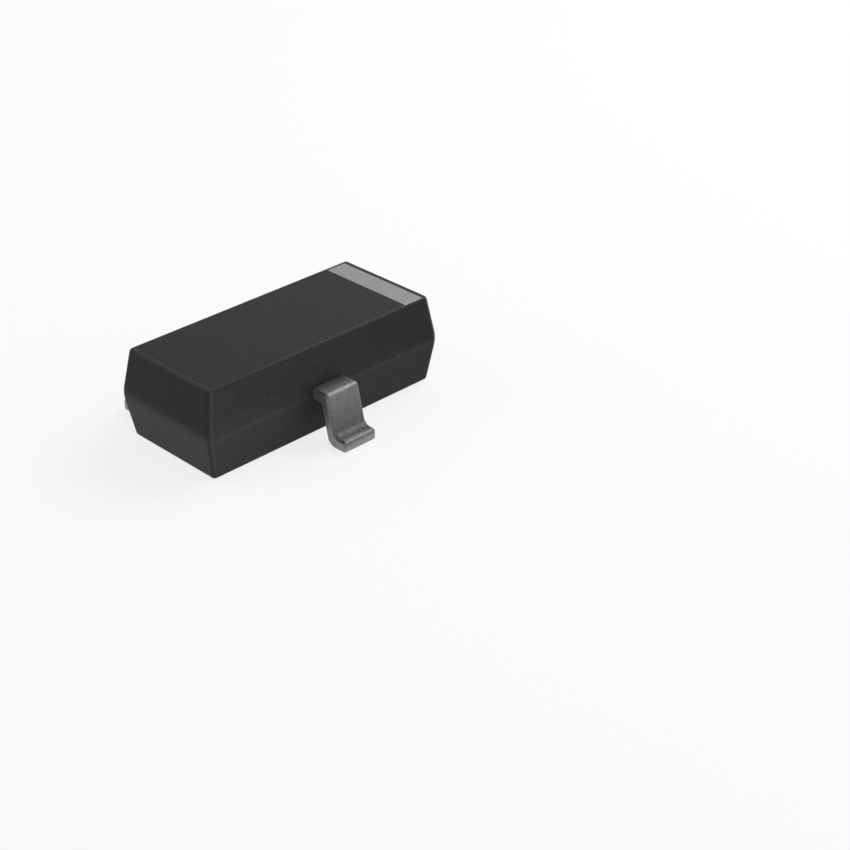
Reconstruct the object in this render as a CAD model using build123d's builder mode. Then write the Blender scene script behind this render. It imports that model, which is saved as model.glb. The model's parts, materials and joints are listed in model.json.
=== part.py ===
from build123d import *

import os
from math import cos, radians, tan

# Small-signal bipolar transistor in the three-lead SOT-23 outline.
# A moulded epoxy body carries three gull-wing leads. Sealed inside are the silicon chip, the
# film that bonds it to the collector's paddle, its two bond pads and its two bond wires.
# Frame: millimetres, +Z up, origin on the soldering plane under the middle of the body.
# +X points along the body to the end with the printed band, and the single lead is on -Y.

os.makedirs("parts", exist_ok=True)

# Moulded body
body_length = 2.90  # over the mould line
body_width = 1.285  # over the mould line
body_height = 0.93
standoff = 0.01  # air gap between the soldering plane and the underside
end_draft = 10.0  # degrees, both ends
side_draft = 7.0  # degrees, both long sides
parting_round = 0.50  # soft ridge where the two mould halves meet
edge_round = 0.045  # upright corners, and round the top and the underside

# Printed band at the +X end of the top
band_width = 0.24
band_end_margin = 0.025  # bare plastic between the band and the rounded end edge
band_rear_margin = 0.015  # bare plastic between the band and the rounded rear edge
band_front_lap = 0.025  # how far the ink runs over the rounded front edge
band_depth = 0.015  # ink filling a shallow recess, flush with the plastic

# Gull-wing leads
lead_width = 0.405
lead_thickness = 0.12
lead_pitch = 1.90  # between the two rear leads
shin_offset = 0.195  # from the body's side to the shin's outer face, at the top of the lead
shin_slope = 13.3  # degrees from upright
foot_length = 0.23  # along the solder face, from the heel's sharp corner to the tip
shoulder_outer = 0.05  # bend radii, upper bend
shoulder_inner = 0.03
instep_inner = 0.08  # bend radii, lower bend
heel_outer = 0.105
lead_edge_round = 0.03

# Inner lead ends, all in the plane of the mould line
paddle_length = 1.30
paddle_cover = 0.20  # epoxy between the body's side and the paddle
paddle_gap = 0.12  # insulation between the paddle and the posts
post_depth = 0.22
post_cover = 0.17  # epoxy between the body's side and the posts
post_reach_in = 0.55  # from the lead's centre line towards the middle
post_reach_out = 0.27  # from the lead's centre line towards the body's end

# Chip and its bonding
chip_size = 0.36
chip_height = 0.12
bond_film_height = 0.01
bond_film_margin = 0.015  # film squeezed out around the chip
pad_size = 0.10
pad_height = 0.004
pad_offset = 0.085  # of each pad's centre from the chip's centre
wire_diameter = 0.025
wire_bend = 0.05
wire_loop = 0.12  # height of the wire's crest over the bond pads
knee_reach = 0.28  # level distance from the ball to where the wire turns down
knee_drop = 0.03  # of that turn below the crest
ball_diameter = 0.075
ball_height = 0.018
stitch_length = 0.10
stitch_inset = 0.10  # of the wire's end from the post's inner end

# Levels and half sizes worked out from the above
half_height = body_height / 2
half_length = body_length / 2
half_width = body_width / 2
parting_z = standoff + half_height
body_top = standoff + body_height
lead_top = parting_z + lead_thickness / 2
lead_bottom = parting_z - lead_thickness / 2


def widest_corner(half_size, draft):
    """Half size out to the sharp mould-line corner that the ridge's rounding takes off."""
    return half_size + parting_round * (1 / cos(radians(draft)) - 1)


def face_half_size(half_size, draft):
    """Half size of the top and of the underside, out to their sharp edges."""
    return widest_corner(half_size, draft) - half_height * tan(radians(draft))


def flat_half_size(half_size, draft):
    """Half size of what the rounded edge leaves flat on the top."""
    return face_half_size(half_size, draft) - edge_round * tan(radians(45 - draft / 2))


def body_outline(half_size, draft):
    """Corners of the body's section, seen along one of its horizontal axes."""
    widest = widest_corner(half_size, draft)
    face = face_half_size(half_size, draft)
    return [
        (widest, parting_z),
        (face, body_top),
        (-face, body_top),
        (-widest, parting_z),
        (-face, standoff),
        (face, standoff),
    ]


# Body shape: the end view carried along X, cut to the side view carried along Y
end_view = (Plane.YZ.offset(-body_length), half_width, side_draft, Mode.ADD)
side_view = (Plane.XZ.offset(-body_length), half_length, end_draft, Mode.INTERSECT)
with BuildPart() as envelope:
    for view_plane, half_size, draft, mode in (end_view, side_view):
        with BuildSketch(view_plane) as view:
            with BuildLine():
                Polyline(*body_outline(half_size, draft), close=True)
            make_face()
            fillet(view.vertices().group_by(Axis.Y)[1], parting_round)
        extrude(amount=2 * body_length, mode=mode)
    upright_edges = envelope.edges().filter_by(Plane.XY, reverse=True)
    fillet(upright_edges + envelope.faces().filter_by(Axis.Z).edges(), edge_round)


# Outer lead: seen from the side, with x outward from the middle of the body and y up
shin_lean = tan(radians(shin_slope))
shin_depth = lead_thickness / cos(radians(shin_slope))
shin_front = half_width + shin_offset
shin_back = shin_front - shin_depth
heel = shin_back + lead_top * shin_lean
toe = heel + foot_length


def lead_side(plane, inner_end):
    """Side view of a gull-wing lead that starts at inner_end inside the body."""
    with BuildSketch(plane) as side:
        with BuildLine():
            upper = FilletPolyline(
                (inner_end, lead_top),
                (shin_front, lead_top),
                (shin_front + (lead_top - lead_thickness) * shin_lean, lead_thickness),
                (toe, lead_thickness),
                radius=[shoulder_outer, instep_inner],
            )
            lower = FilletPolyline(
                (inner_end, lead_bottom),
                (shin_back + lead_thickness * shin_lean, lead_bottom),
                (heel, 0),
                (toe, 0),
                radius=[shoulder_inner, heel_outer],
            )
            Line(upper @ 0, lower @ 0)
            Line(upper @ 1, lower @ 1)
        make_face()
    return side.sketch


def all_but_inner_end(edges, axis):
    """Every edge of a lead strip except those round its inner end, the lowest along the axis."""
    return edges - edges.group_by(axis)[0]


# Layout of the inner lead ends along Y: paddle towards the single lead, posts towards the pair
paddle_front = -half_width + paddle_cover
post_back = half_width - post_cover
post_front = post_back - post_depth
paddle_back = post_front - paddle_gap
paddle_depth = paddle_back - paddle_front
paddle_y = (paddle_front + paddle_back) / 2
post_y = (post_front + post_back) / 2

# Collector lead, whose inner end widens into the paddle under the chip
front_plane = Plane(origin=(0, 0, 0), x_dir=(0, -1, 0), z_dir=(-1, 0, 0))
with BuildPart() as collector_lead:
    extrude(lead_side(front_plane, -paddle_y), amount=lead_width / 2, both=True)
    fillet(all_but_inner_end(collector_lead.edges(), -Axis.Y), lead_edge_round)
    with BuildSketch(Plane.XY.offset(lead_bottom)):
        with Locations((0, paddle_y)):
            Rectangle(paddle_length, paddle_depth)
    extrude(amount=lead_thickness)
collector_lead.part.label = "collector_lead"
export_step(collector_lead.part, "parts/collector_lead.step")
sealed_in = [collector_lead.part]

# Base and emitter leads, whose inner ends widen into posts that reach in behind the paddle
post_length = post_reach_in + post_reach_out
post_shift = (post_reach_out - post_reach_in) / 2
for label, side in (("base_lead", 1), ("emitter_lead", -1)):
    lead_x = side * lead_pitch / 2
    with BuildPart() as rear_lead:
        extrude(lead_side(Plane.YZ.offset(lead_x), post_y), amount=lead_width / 2, both=True)
        fillet(all_but_inner_end(rear_lead.edges(), Axis.Y), lead_edge_round)
        with BuildSketch(Plane.XY.offset(lead_bottom)):
            with Locations((lead_x + side * post_shift, post_y)):
                Rectangle(post_length, post_depth)
        extrude(amount=lead_thickness)
    rear_lead.part.label = label
    export_step(rear_lead.part, f"parts/{label}.step")
    sealed_in.append(rear_lead.part)

# Film that bonds the chip to the paddle
bond_film_size = chip_size + 2 * bond_film_margin
with BuildPart() as bond_film:
    with BuildSketch(Plane.XY.offset(lead_top)):
        with Locations((0, paddle_y)):
            Rectangle(bond_film_size, bond_film_size)
    extrude(amount=bond_film_height)
bond_film.part.label = "bond_film"
export_step(bond_film.part, "parts/bond_film.step")
sealed_in.append(bond_film.part)

# Silicon chip
chip_bottom = lead_top + bond_film_height
chip_top = chip_bottom + chip_height
with BuildPart() as silicon_chip:
    with BuildSketch(Plane.XY.offset(chip_bottom)):
        with Locations((0, paddle_y)):
            Rectangle(chip_size, chip_size)
    extrude(amount=chip_height)
silicon_chip.part.label = "silicon_chip"
export_step(silicon_chip.part, "parts/silicon_chip.step")
sealed_in.append(silicon_chip.part)

# Bond pads on the chip, and a wire from each to its post: a ball on the pad, a loop that rises
# clear of the chip's edge, and a stitch pressed half flat onto the post
pad_top = chip_top + pad_height
for role, side in (("base", 1), ("emitter", -1)):
    pad_x = side * pad_offset
    with BuildPart() as bond_pad:
        with BuildSketch(Plane.XY.offset(chip_top)):
            with Locations((pad_x, paddle_y)):
                Rectangle(pad_size, pad_size)
        extrude(amount=pad_height)
    bond_pad.part.label = f"{role}_pad"
    export_step(bond_pad.part, f"parts/{role}_pad.step")
    sealed_in.append(bond_pad.part)

    ball_spot = Vector(pad_x, paddle_y, pad_top)
    wire_end = Vector(side * (lead_pitch / 2 - post_reach_in + stitch_inset), post_y, lead_top)
    level_run = Vector(wire_end.X - ball_spot.X, wire_end.Y - ball_spot.Y, 0).normalized()
    with BuildPart() as bond_wire:
        with BuildLine() as route:
            FilletPolyline(
                ball_spot,
                ball_spot + Vector(0, 0, wire_loop),
                ball_spot + level_run * knee_reach + Vector(0, 0, wire_loop - knee_drop),
                wire_end - level_run * stitch_length,
                wire_end,
                radius=wire_bend,
            )
        with BuildSketch(Plane(origin=route.line @ 0, z_dir=route.line % 0)):
            Circle(wire_diameter / 2)
        sweep()
        split(bisect_by=Plane.XY.offset(lead_top), keep=Keep.TOP)
        with BuildSketch(Plane.XY.offset(pad_top)):
            with Locations((pad_x, paddle_y)):
                Circle(ball_diameter / 2)
        extrude(amount=ball_height)
    bond_wire.part.label = f"{role}_wire"
    export_step(bond_wire.part, f"parts/{role}_wire.step")
    sealed_in.append(bond_wire.part)

# Printed band across the top, filling its shallow recess and cut to the body's own skin
band_end = flat_half_size(half_length, end_draft) - band_end_margin
band_rear = flat_half_size(half_width, side_draft) - band_rear_margin
band_front = -flat_half_size(half_width, side_draft) - band_front_lap
with BuildPart() as end_band:
    with BuildSketch(Plane.XY.offset(body_top - band_depth)):
        with Locations((band_end - band_width / 2, (band_front + band_rear) / 2)):
            Rectangle(band_width, band_rear - band_front)
    extrude(amount=band_depth)
    add(envelope, mode=Mode.INTERSECT)
end_band.part.label = "end_band"
export_step(end_band.part, "parts/end_band.step")

# Moulded body, cast round everything that it seals
with BuildPart() as mould_body:
    add(envelope)
    for piece in sealed_in:
        add(piece, mode=Mode.SUBTRACT)
    add(end_band, mode=Mode.SUBTRACT)
mould_body.part.label = "mould_body"
export_step(mould_body.part, "parts/mould_body.step")
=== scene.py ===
"""Looks of the SOT-23 transistor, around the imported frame. Metres, in the frame's own axes."""

import json
import math

import bpy
from mathutils import Matrix, Vector


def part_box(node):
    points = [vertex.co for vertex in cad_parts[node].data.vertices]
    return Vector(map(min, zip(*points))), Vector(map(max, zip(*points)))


MM = 0.001
MICRON = 0.001 * MM

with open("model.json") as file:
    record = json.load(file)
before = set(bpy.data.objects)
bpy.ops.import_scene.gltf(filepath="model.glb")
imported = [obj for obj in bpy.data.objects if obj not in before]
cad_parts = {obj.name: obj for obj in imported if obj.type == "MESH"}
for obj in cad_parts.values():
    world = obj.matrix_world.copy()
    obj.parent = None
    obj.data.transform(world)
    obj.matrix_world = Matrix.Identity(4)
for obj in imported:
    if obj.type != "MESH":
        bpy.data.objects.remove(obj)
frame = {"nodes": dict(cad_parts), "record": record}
bpy.context.view_layer.update()


# Camera, at the photograph's viewing angle
PHOTO_SIDE = 850  # pixels
FOCAL_PIXELS = 1815
SENSOR_WIDTH = 36  # millimetres, as the camera's own units
CAMERA_PLACE = Vector((-9.993, -11.860, 8.736)) * MM
CAMERA_HEADING = 44.84  # degrees from +X, turning towards +Y
CAMERA_PITCH = 30.04  # degrees below the horizon
CAMERA_ROLL = 0.21  # degrees
NEAREST_SEEN = 1 * MM
FARTHEST_SEEN = 1000 * MM


def make_camera():
    data = bpy.data.cameras.new("camera")
    data.sensor_width = SENSOR_WIDTH
    data.lens = SENSOR_WIDTH * FOCAL_PIXELS / PHOTO_SIDE
    data.clip_start = NEAREST_SEEN
    data.clip_end = FARTHEST_SEEN
    camera = bpy.data.objects.new("camera", data)
    bpy.context.scene.collection.objects.link(camera)
    turn = Matrix.Rotation(math.radians(CAMERA_HEADING - 90), 4, "Z")
    tilt = Matrix.Rotation(math.radians(90 - CAMERA_PITCH), 4, "X")
    roll = Matrix.Rotation(math.radians(CAMERA_ROLL), 4, "Z")
    camera.matrix_world = Matrix.Translation(CAMERA_PLACE) @ turn @ tilt @ roll
    bpy.context.scene.camera = camera


# Zones of the body's finish and of its painted light and shade
SEAM_DROP = 0.021 * MM  # of the middle of the seam's painted sheen below the mould line
SEAM_HALF = 0.048 * MM
SHEEN_SKIRT_HALF = 0.20 * MM  # of the soft painted sheen round the seam
RIDGE_DROP = 0.035 * MM  # of the ends' painted sheen, a paler strip below the mould line
RIDGE_HALF = 0.06 * MM
END_SHADE_FADE = 0.05 * MM  # over which the painted shade on the ends' upper halves fades in, from the mould line up
INK_BORDER = 0.012 * MM  # within which the print thins out at its far border

# Tones of the body's finish and of its painted light and shade, and shares of its painted sheen
# tone. Pairs run from the plain end to the banded one, unless a comment says otherwise.
RESIN_TONES = (0.017, 0.031)  # darkest and palest speckle
SIDE_LIGHT_GAINS = (1.38, 0.60)  # painted light: what the sides' tone is multiplied by, a gradient of light along them
# painted shade on the ends' upper halves: its tone and its shares
UPPER_END_SHADE_TONE = 0.014
UPPER_END_SHADE_SHARES = (0.84, 0.70)  # of the painted shade's tone, from the mould line to the top
# painted sheen: the paler tone of the seam, the ridge and the edges' highlights
PAINTED_SHEEN_TONE = 0.060
SEAM_SHEEN_SHARES = (0.63, 0.20)
SHEEN_SKIRT_SHARES = (0.22, 0)
RIDGE_SHEEN_SHARE = 0.30
CORNER_HIGHLIGHT_SHARE = 0.45  # on the part of an edge's painted highlight that is nearer to the end
INK_TONES = (0.265, 0.315)  # thinnest and thickest pigment
BARE_TONE = 0.03  # where the print has thinned out

# How squarely a surface faces an end, from 0 to 1, at the limits of the body's zones
SQUARE_ON = (0.90, 0.98)
ROUND_CORNER = (0.60, 0.30)  # from an upright corner's middle to a side
LEAVING_SIDE = (0.03, 0.15)  # or the top, towards an end
LEAVING_END = (0.97, 0.88)
NEARING_SIDE = (0.60, 0.35)  # or the top, from an edge's middle

# Places along a lead, outward from the middle of the body
RUN = (0.66 * MM, 0.79 * MM)  # the level run, from the body to the shoulder
FOOT = (0.99 * MM, 1.035 * MM)  # the foot's top, from the bend to the rounded end
HOLLOW_MIDDLE = 0.965 * MM  # the bend above the foot
HOLLOW_HALF = 0.045 * MM
TIP_LIGHT_DEPTH = 0.035 * MM  # how far the tip's paler painted light reaches in

# Heights along a lead
TIP_HEIGHTS = (0.09 * MM, 0.045 * MM)  # the tip's painted light: its darker upper part and its paler lower part
SHIN_HEIGHTS = (0.20 * MM, 0.50 * MM)
HALF_UP = (0.30 * MM, 0.40 * MM)  # between the foot's top and the run's
FOOT_SKIN = (0.06 * MM, 0.115 * MM)  # from the flank's middle to the foot's top

# Tones of the leads' painted light and shade, and gains of their own grain
RUN_LIGHT_TONES = (0.115, 0.275)
FOOT_LIGHT_TONES = (0.11, 0.29)
SHIN_LIGHT_TONES = (0.117, 0.180)
TIP_LIGHT_TONES = (0.17, 0.295)
BRIM_LIGHT_TONE = 0.24  # painted light on the rounded edges along the level stretches
# painted light on the flanks, which makes them paler
FLANK_LIGHT_TONE = 0.28
HOLLOW_SHADE_GAIN = 0.45  # painted shade: what the tone is multiplied by in the bend above the foot
CLOUD_GAINS = (0.86, 1.14)
CRYSTAL_GAINS = (0.955, 1.045)

# How a surface of a lead faces, from 0 to 1, at the limits of its zones
LEVEL_ON = (0.97, 0.995)  # upwards
BRIM_TURN = (0.1, 0.45)  # upwards times sideways
FLANK_ON = (0.85, 1.0)  # sideways

# Ranges that hold most of a noise
MOST = (0.3, 0.7)
NEARLY_ALL = (0.25, 0.75)


class Nodes:
    """A node tree, and the few node chains that the finishes and the stage share."""

    def __init__(self, tree):
        self.tree = tree

    def node(self, kind, **settings):
        made = self.tree.nodes.new(kind)
        for key, value in settings.items():
            setattr(made, key, value)
        return made

    def link(self, source, target):
        self.tree.links.new(source, target)

    def feed(self, socket, value):
        """Give a socket its value, which is a plain one or another node's output."""
        if isinstance(value, bpy.types.NodeSocket):
            self.link(value, socket)
        else:
            socket.default_value = value

    def math(self, operation, first, second=None):
        """One arithmetic step on numbers or sockets."""
        made = self.node("ShaderNodeMath", operation=operation)
        self.feed(made.inputs[0], first)
        if second is not None:
            self.feed(made.inputs[1], second)
        return made.outputs["Value"]

    def times(self, first, second):
        return self.math("MULTIPLY", first, second)

    def greatest(self, first, *others):
        result = first
        for other in others:
            result = self.math("MAXIMUM", result, other)
        return result

    def apart(self, value, centre=0.0):
        """How far a value lies from centre, either way."""
        return self.math("ABSOLUTE", self.math("SUBTRACT", value, centre))

    def along(self, vector, axis):
        """A place's or a direction's share along one axis."""
        split = self.node("ShaderNodeSeparateXYZ")
        self.link(vector, split.inputs["Vector"])
        return split.outputs[axis]

    def spread(self, value, low, high, start=0.0, end=1.0, **settings):
        """Value between low and high, taken to the range from start to end.

        All of them are numbers or sockets.
        """
        made = self.node("ShaderNodeMapRange", **settings)
        ends = {"Value": value, "From Min": low, "From Max": high, "To Min": start, "To Max": end}
        for name, given in ends.items():
            self.feed(made.inputs[name], given)
        return made.outputs["Result"]

    def around(self, value, centre, half, peak):
        """Peak where value is at centre, falling off to nothing at half either way."""
        return self.spread(self.apart(value, centre), half, 0, 0, peak)


class Surface(Nodes):
    """A material with one Principled shader."""

    def __init__(self, name):
        self.material = bpy.data.materials.new(name)
        self.material.use_nodes = True
        super().__init__(self.material.node_tree)
        self.shader = self.tree.nodes["Principled BSDF"]
        coordinates = self.node("ShaderNodeTexCoord")
        self.place = coordinates.outputs["Object"]
        self.facing = coordinates.outputs["Normal"]

    def noise(self, size, detail=2, stretch=(1, 1, 1)):
        """Noise whose blotches are about size across, drawn out by stretch along each axis."""
        shrink = self.node("ShaderNodeMapping")
        shrink.inputs["Scale"].default_value = [1 / (size * s) for s in stretch]
        self.link(self.place, shrink.inputs["Vector"])
        made = self.node("ShaderNodeTexNoise")
        made.inputs["Scale"].default_value = 1
        made.inputs["Detail"].default_value = detail
        self.link(shrink.outputs["Vector"], made.inputs["Vector"])
        return made.outputs["Fac"]

    def blotches(self, extremes, size, detail, most=MOST):
        """Value that wanders between two extremes, in blotches of about size."""
        return self.spread(self.noise(size, detail), *most, *extremes)

    def cells(self, size):
        """Cells of about that size: their distance field and a random grey for each."""
        made = self.node("ShaderNodeTexVoronoi")
        made.inputs["Scale"].default_value = 1 / size
        self.link(self.place, made.inputs["Vector"])
        return made.outputs["Distance"], made.outputs["Color"]

    def mix(self, share, first, second):
        """Colour from first to second, by a share from 0 to 1."""
        made = self.node("ShaderNodeMix", data_type="RGBA")
        self.link(share, made.inputs["Factor"])
        for name, colour in (("A", first), ("B", second)):
            socket = next(s for s in made.inputs if s.name == name and s.type == "RGBA")
            socket.default_value = (*colour, 1)
        return next(s for s in made.outputs if s.type == "RGBA")

    def bump(self, height, depth, over=None):
        """Bump of that real depth, added over an earlier one."""
        made = self.node("ShaderNodeBump")
        made.inputs["Distance"].default_value = depth
        made.inputs["Strength"].default_value = 1
        self.link(height, made.inputs["Height"])
        if over is not None:
            self.link(over, made.inputs["Normal"])
        return made.outputs["Normal"]

    def finish(self, **sockets):
        """The material, once the shader's named sockets have their values."""
        for name, value in sockets.items():
            self.feed(self.shader.inputs[name.replace("_", " ")], value)
        return self.material


def epoxy():
    """Black moulding compound with the mould's fine matt texture.

    The sides carry a soft paler line along the mould line, a painted sheen, and painted light that
    changes slightly along them. The ends carry painted shade above the mould line and painted
    highlights round their edges.
    """
    made = Surface("moulded_epoxy")
    lowest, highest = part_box("mould_body")
    seam_z = (lowest.z + highest.z) / 2
    ends = (lowest.x, highest.x)
    along_body = made.along(made.place, "X")
    height = made.along(made.place, "Z")
    towards_end = made.apart(made.along(made.facing, "X"))
    towards_side = made.apart(made.along(made.facing, "Y"))

    speckle = made.blotches(RESIN_TONES, size=0.022 * MM, detail=3, most=NEARLY_ALL)
    # painted light along the sides: the resin's speckle is multiplied by a gradient of light,
    # lighter towards the plain end
    side_light = made.spread(along_body, *ends, *SIDE_LIGHT_GAINS)
    resin = made.times(speckle, made.spread(towards_side, *SQUARE_ON, 1, side_light))

    # painted shade on the ends above the mould line, darkest just above it
    on_end = made.spread(towards_end, *SQUARE_ON)
    end_shade_share = made.times(on_end, made.spread(height, seam_z, highest.z, *UPPER_END_SHADE_SHARES))
    painted_end_shade = made.spread(height, seam_z, seam_z + END_SHADE_FADE, 0, end_shade_share)
    speckle_light_and_shade = made.spread(painted_end_shade, 0, 1, resin, UPPER_END_SHADE_TONE)

    # painted sheen along the mould line on the sides, and a softer one round it, fading towards the
    # banded end
    seam_sheen_share = made.spread(along_body, *ends, *SEAM_SHEEN_SHARES)
    seam_sheen_peak = made.spread(towards_end, *ROUND_CORNER, 0, seam_sheen_share)
    seam_sheen = made.around(height, seam_z - SEAM_DROP, SEAM_HALF, seam_sheen_peak)
    sheen_skirt_share = made.spread(along_body, *ends, *SHEEN_SKIRT_SHARES)
    sheen_skirt_peak = made.spread(towards_end, *ROUND_CORNER, 0, sheen_skirt_share)
    sheen_skirt = made.around(height, seam_z, SHEEN_SKIRT_HALF, sheen_skirt_peak)
    # painted sheen on the ends, just below the mould line
    ridge_sheen = made.around(height, seam_z - RIDGE_DROP, RIDGE_HALF, made.times(on_end, RIDGE_SHEEN_SHARE))
    # painted highlights round the ends' edges and upright corners
    edge_highlight_share = made.spread(towards_end, *NEARING_SIDE, CORNER_HIGHLIGHT_SHARE, 1)
    highlight_off_end = made.spread(towards_end, *LEAVING_END, 0, edge_highlight_share)
    edge_highlight = made.spread(towards_end, *LEAVING_SIDE, 0, highlight_off_end)
    # the painted sheens and highlights lift the colour towards the painted sheen tone
    colour = made.spread(made.greatest(seam_sheen, sheen_skirt, ridge_sheen, edge_highlight), 0, 1, speckle_light_and_shade, PAINTED_SHEEN_TONE)

    fine = made.bump(made.noise(size=0.018 * MM, detail=3), depth=1.2 * MICRON)
    waves = made.bump(made.noise(size=0.14 * MM), depth=1.0 * MICRON, over=fine)
    rough = made.blotches(extremes=(0.39, 0.47), size=0.05 * MM, detail=3)
    return made.finish(Base_Color=colour, Roughness=rough, Normal=waves, Specular_IOR_Level=0.13)


def band_ink():
    """Grey print: uneven pigment over the plastic's texture, thinning out at its far border."""
    made = Surface("band_ink")
    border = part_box("end_band")[1].x
    pigment = made.blotches(INK_TONES, size=0.025 * MM, detail=4)
    thinning = (border - INK_BORDER, border - INK_BORDER / 2)
    colour = made.spread(made.along(made.place, "X"), *thinning, pigment, BARE_TONE)
    grain = made.bump(made.noise(size=0.014 * MM, detail=3), depth=1.2 * MICRON)
    return made.finish(Base_Color=colour, Roughness=0.6, Normal=grain)


def tin_plate():
    """Matt tin on a stamped strip: soft cloudiness, fine crystals and faint rolling marks.

    The level stretches carry painted light that grows towards their outer ends, and the shin
    painted light that grows upwards. The bend above the foot carries painted shade, and the flanks
    and the tip are painted paler, as painted light.
    """
    made = Surface("matt_tin")
    reach = -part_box("collector_lead")[0].y
    outward = made.apart(made.along(made.place, "Y"))
    height = made.along(made.place, "Z")
    sideways = made.apart(made.along(made.facing, "X"))
    upwards = made.along(made.facing, "Z")

    # painted light: the level stretches grow lighter towards their outer ends
    run = made.spread(outward, *RUN, *RUN_LIGHT_TONES)
    foot = made.spread(outward, *FOOT, *FOOT_LIGHT_TONES)
    level = made.spread(height, *HALF_UP, foot, run)
    # painted light: the shin grows lighter upwards
    shin = made.spread(height, *SHIN_HEIGHTS, *SHIN_LIGHT_TONES)
    # painted light of the level stretches on upward faces, the shin's elsewhere
    skin = made.spread(upwards, *LEVEL_ON, shin, level)
    # painted shade in the bend above the foot
    hollow_shade = made.around(outward, HOLLOW_MIDDLE, HOLLOW_HALF, made.spread(height, *FOOT_SKIN))
    hollow_shaded = made.times(skin, made.spread(hollow_shade, 0, 1, 1, HOLLOW_SHADE_GAIN))
    # painted light on the rounded edges of the level stretches
    brim = made.spread(made.times(sideways, upwards), *BRIM_TURN, hollow_shaded, BRIM_LIGHT_TONE)
    # painted light on the flanks
    flank = made.spread(sideways, *FLANK_ON, brim, FLANK_LIGHT_TONE)
    # painted light on the tip, paler at its lower part
    tip = made.spread(height, *TIP_HEIGHTS, *TIP_LIGHT_TONES)
    tone = made.spread(outward, reach - TIP_LIGHT_DEPTH, reach, flank, tip)

    clouds = made.blotches(CLOUD_GAINS, size=0.035 * MM, detail=4)
    crystal_distance, crystal_grey = made.cells(size=0.010 * MM)
    grain = made.times(clouds, made.spread(crystal_grey, 0, 1, *CRYSTAL_GAINS))
    crystals = made.bump(crystal_distance, depth=0.5 * MICRON)
    rolling = made.noise(size=0.020 * MM, stretch=(1, 12, 12))
    streaks = made.bump(rolling, depth=0.8 * MICRON, over=crystals)
    lumps = made.bump(made.noise(size=0.04 * MM, detail=3), depth=1.5 * MICRON, over=streaks)
    rough = made.blotches(extremes=(0.38, 0.50), size=0.03 * MM, detail=3)
    # colour: the painted light and shade, times the tin's own grain
    colour = made.times(tone, grain)
    return made.finish(Base_Color=colour, Metallic=0.65, Roughness=rough, Normal=lumps)


def silicon():
    """Polished silicon with faint saw marks."""
    made = Surface("silicon")
    colour = made.mix(made.noise(size=0.08 * MM), (0.10, 0.11, 0.13), (0.13, 0.14, 0.17))
    saw = made.bump(made.noise(size=0.004 * MM, stretch=(30, 30, 1)), depth=0.2 * MICRON)
    return made.finish(Base_Color=colour, Roughness=0.18, Normal=saw)


def bond_adhesive():
    """Silver-filled adhesive: pale flakes in resin."""
    made = Surface("silver_adhesive")
    flake_distance, flake_grey = made.cells(size=0.006 * MM)
    colour = made.mix(flake_grey, (0.34, 0.34, 0.33), (0.66, 0.66, 0.65))
    flakes = made.bump(flake_distance, depth=0.6 * MICRON)
    return made.finish(Base_Color=colour, Metallic=0.6, Roughness=0.45, Normal=flakes)


def pad_metal():
    """Sputtered aluminium: bright, with fine grain."""
    made = Surface("pad_aluminium")
    colour = made.mix(made.noise(size=0.006 * MM, detail=3), (0.76, 0.76, 0.77), (0.86, 0.86, 0.87))
    grain = made.bump(made.noise(size=0.004 * MM), depth=0.1 * MICRON)
    return made.finish(Base_Color=colour, Metallic=1, Roughness=0.25, Normal=grain)


def gold_wire():
    """Drawn gold, with faint die lines."""
    made = Surface("gold_wire")
    colour = made.mix(made.noise(size=0.020 * MM, detail=3), (0.90, 0.62, 0.22), (1.00, 0.74, 0.32))
    lines = made.bump(made.noise(size=0.006 * MM, detail=3), depth=0.15 * MICRON)
    return made.finish(Base_Color=colour, Metallic=1, Roughness=0.22, Normal=lines)


FINISHES = {
    "epoxy": epoxy,
    "band_ink": band_ink,
    "tinned_lead": tin_plate,
    "silicon": silicon,
    "bond_adhesive": bond_adhesive,
    "pad_metal": pad_metal,
    "wire_gold": gold_wire,
}


def dress_nodes():
    """Every CAD node gets the finish of its own material slot."""
    made = {slot: build() for slot, build in FINISHES.items()}
    for row in frame["record"]["subparts"]:
        node = frame["nodes"][row["node"]]
        node.data.materials.clear()
        node.data.materials.append(made[row["material_slot"]])


# Stage and light
FLOOR_HALF = 400 * MM
FLOOR_GREY = 0.90
FLOOR_GLOW = 0.80  # share of plain white in what the camera and the reflections see of the floor
SKY_GREY = 0.12
HORIZON_GREY = 0.50
HORIZON_TOP = 0.15  # height, as a sine, up to which the surroundings keep the horizon's grey
SKY_FROM = 0.45  # height, as a sine, from which they have the sky's grey
LAMP_DISTANCE = 32 * MM


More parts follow.
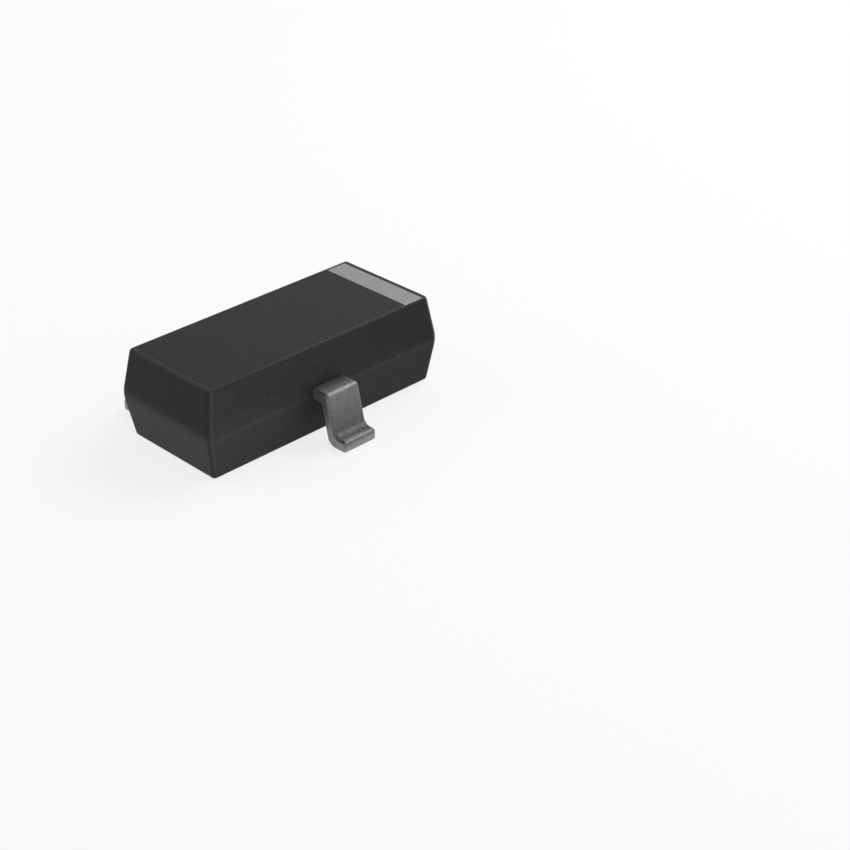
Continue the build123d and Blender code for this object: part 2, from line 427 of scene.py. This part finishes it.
def make_floor():
    """Pale floor, lifted towards white where it is seen or mirrored.

    The object's shadow still darkens it.
    """
    mesh = bpy.data.meshes.new("floor")
    corners = [(-1, -1), (1, -1), (1, 1), (-1, 1)]
    mesh.from_pydata([(x * FLOOR_HALF, y * FLOOR_HALF, 0) for x, y in corners], [], [(0, 1, 2, 3)])
    floor = bpy.data.objects.new("floor", mesh)
    bpy.context.scene.collection.objects.link(floor)
    material = bpy.data.materials.new("floor")
    material.use_nodes = True
    made = Nodes(material.node_tree)
    made.tree.nodes.clear()
    rays = made.node("ShaderNodeLightPath").outputs
    seen = made.greatest(rays["Is Camera Ray"], rays["Is Glossy Ray"], rays["Is Transmission Ray"])
    lit = made.node("ShaderNodeBsdfDiffuse")
    lit.inputs["Color"].default_value = (FLOOR_GREY, FLOOR_GREY, FLOOR_GREY, 1)
    glow = made.node("ShaderNodeEmission")
    blend = made.node("ShaderNodeMixShader")
    made.link(made.times(seen, FLOOR_GLOW), blend.inputs["Fac"])
    made.link(lit.outputs["BSDF"], blend.inputs[1])
    made.link(glow.outputs["Emission"], blend.inputs[2])
    output = made.node("ShaderNodeOutputMaterial")
    made.link(blend.outputs["Shader"], output.inputs["Surface"])
    mesh.materials.append(material)


def make_world():
    """Studio surroundings: pale round the horizon, grey overhead."""
    world = bpy.data.worlds.new("studio")
    world.use_nodes = True
    made = Nodes(world.node_tree)
    rise = made.along(made.node("ShaderNodeTexCoord").outputs["Generated"], "Z")
    limits = (HORIZON_TOP, SKY_FROM, HORIZON_GREY, SKY_GREY)
    grey = made.spread(rise, *limits, interpolation_type="SMOOTHSTEP")
    made.link(grey, made.tree.nodes["Background"].inputs["Color"])
    bpy.context.scene.world = world


def soft_box(name, azimuth, elevation, width, energy):
    """Square lamp that faces the part. Azimuth is from +X towards +Y, in degrees."""
    data = bpy.data.lights.new(name, "AREA")
    data.size = width
    data.energy = energy
    lamp = bpy.data.objects.new(name, data)
    bpy.context.scene.collection.objects.link(lamp)
    turn, rise = math.radians(azimuth), math.radians(elevation)
    out = Vector((math.cos(turn) * math.cos(rise), math.sin(turn) * math.cos(rise), math.sin(rise)))
    lamp.location = out * LAMP_DISTANCE
    lamp.rotation_euler = out.to_track_quat("Z", "Y").to_euler()


make_camera()
dress_nodes()
make_floor()
make_world()
soft_box("front_left", azimuth=-90, elevation=30, width=20 * MM, energy=0.0012)
soft_box("front_right", azimuth=-39, elevation=38, width=20 * MM, energy=0.0032)
soft_box("right", azimuth=0, elevation=45, width=20 * MM, energy=0.0054)
soft_box("rear", azimuth=45, elevation=30, width=20 * MM, energy=0.0006)
soft_box("rear_left", azimuth=129, elevation=38, width=24 * MM, energy=0.0032)
bpy.context.scene.view_settings.view_transform = "Standard"

bpy.context.view_layer.update()
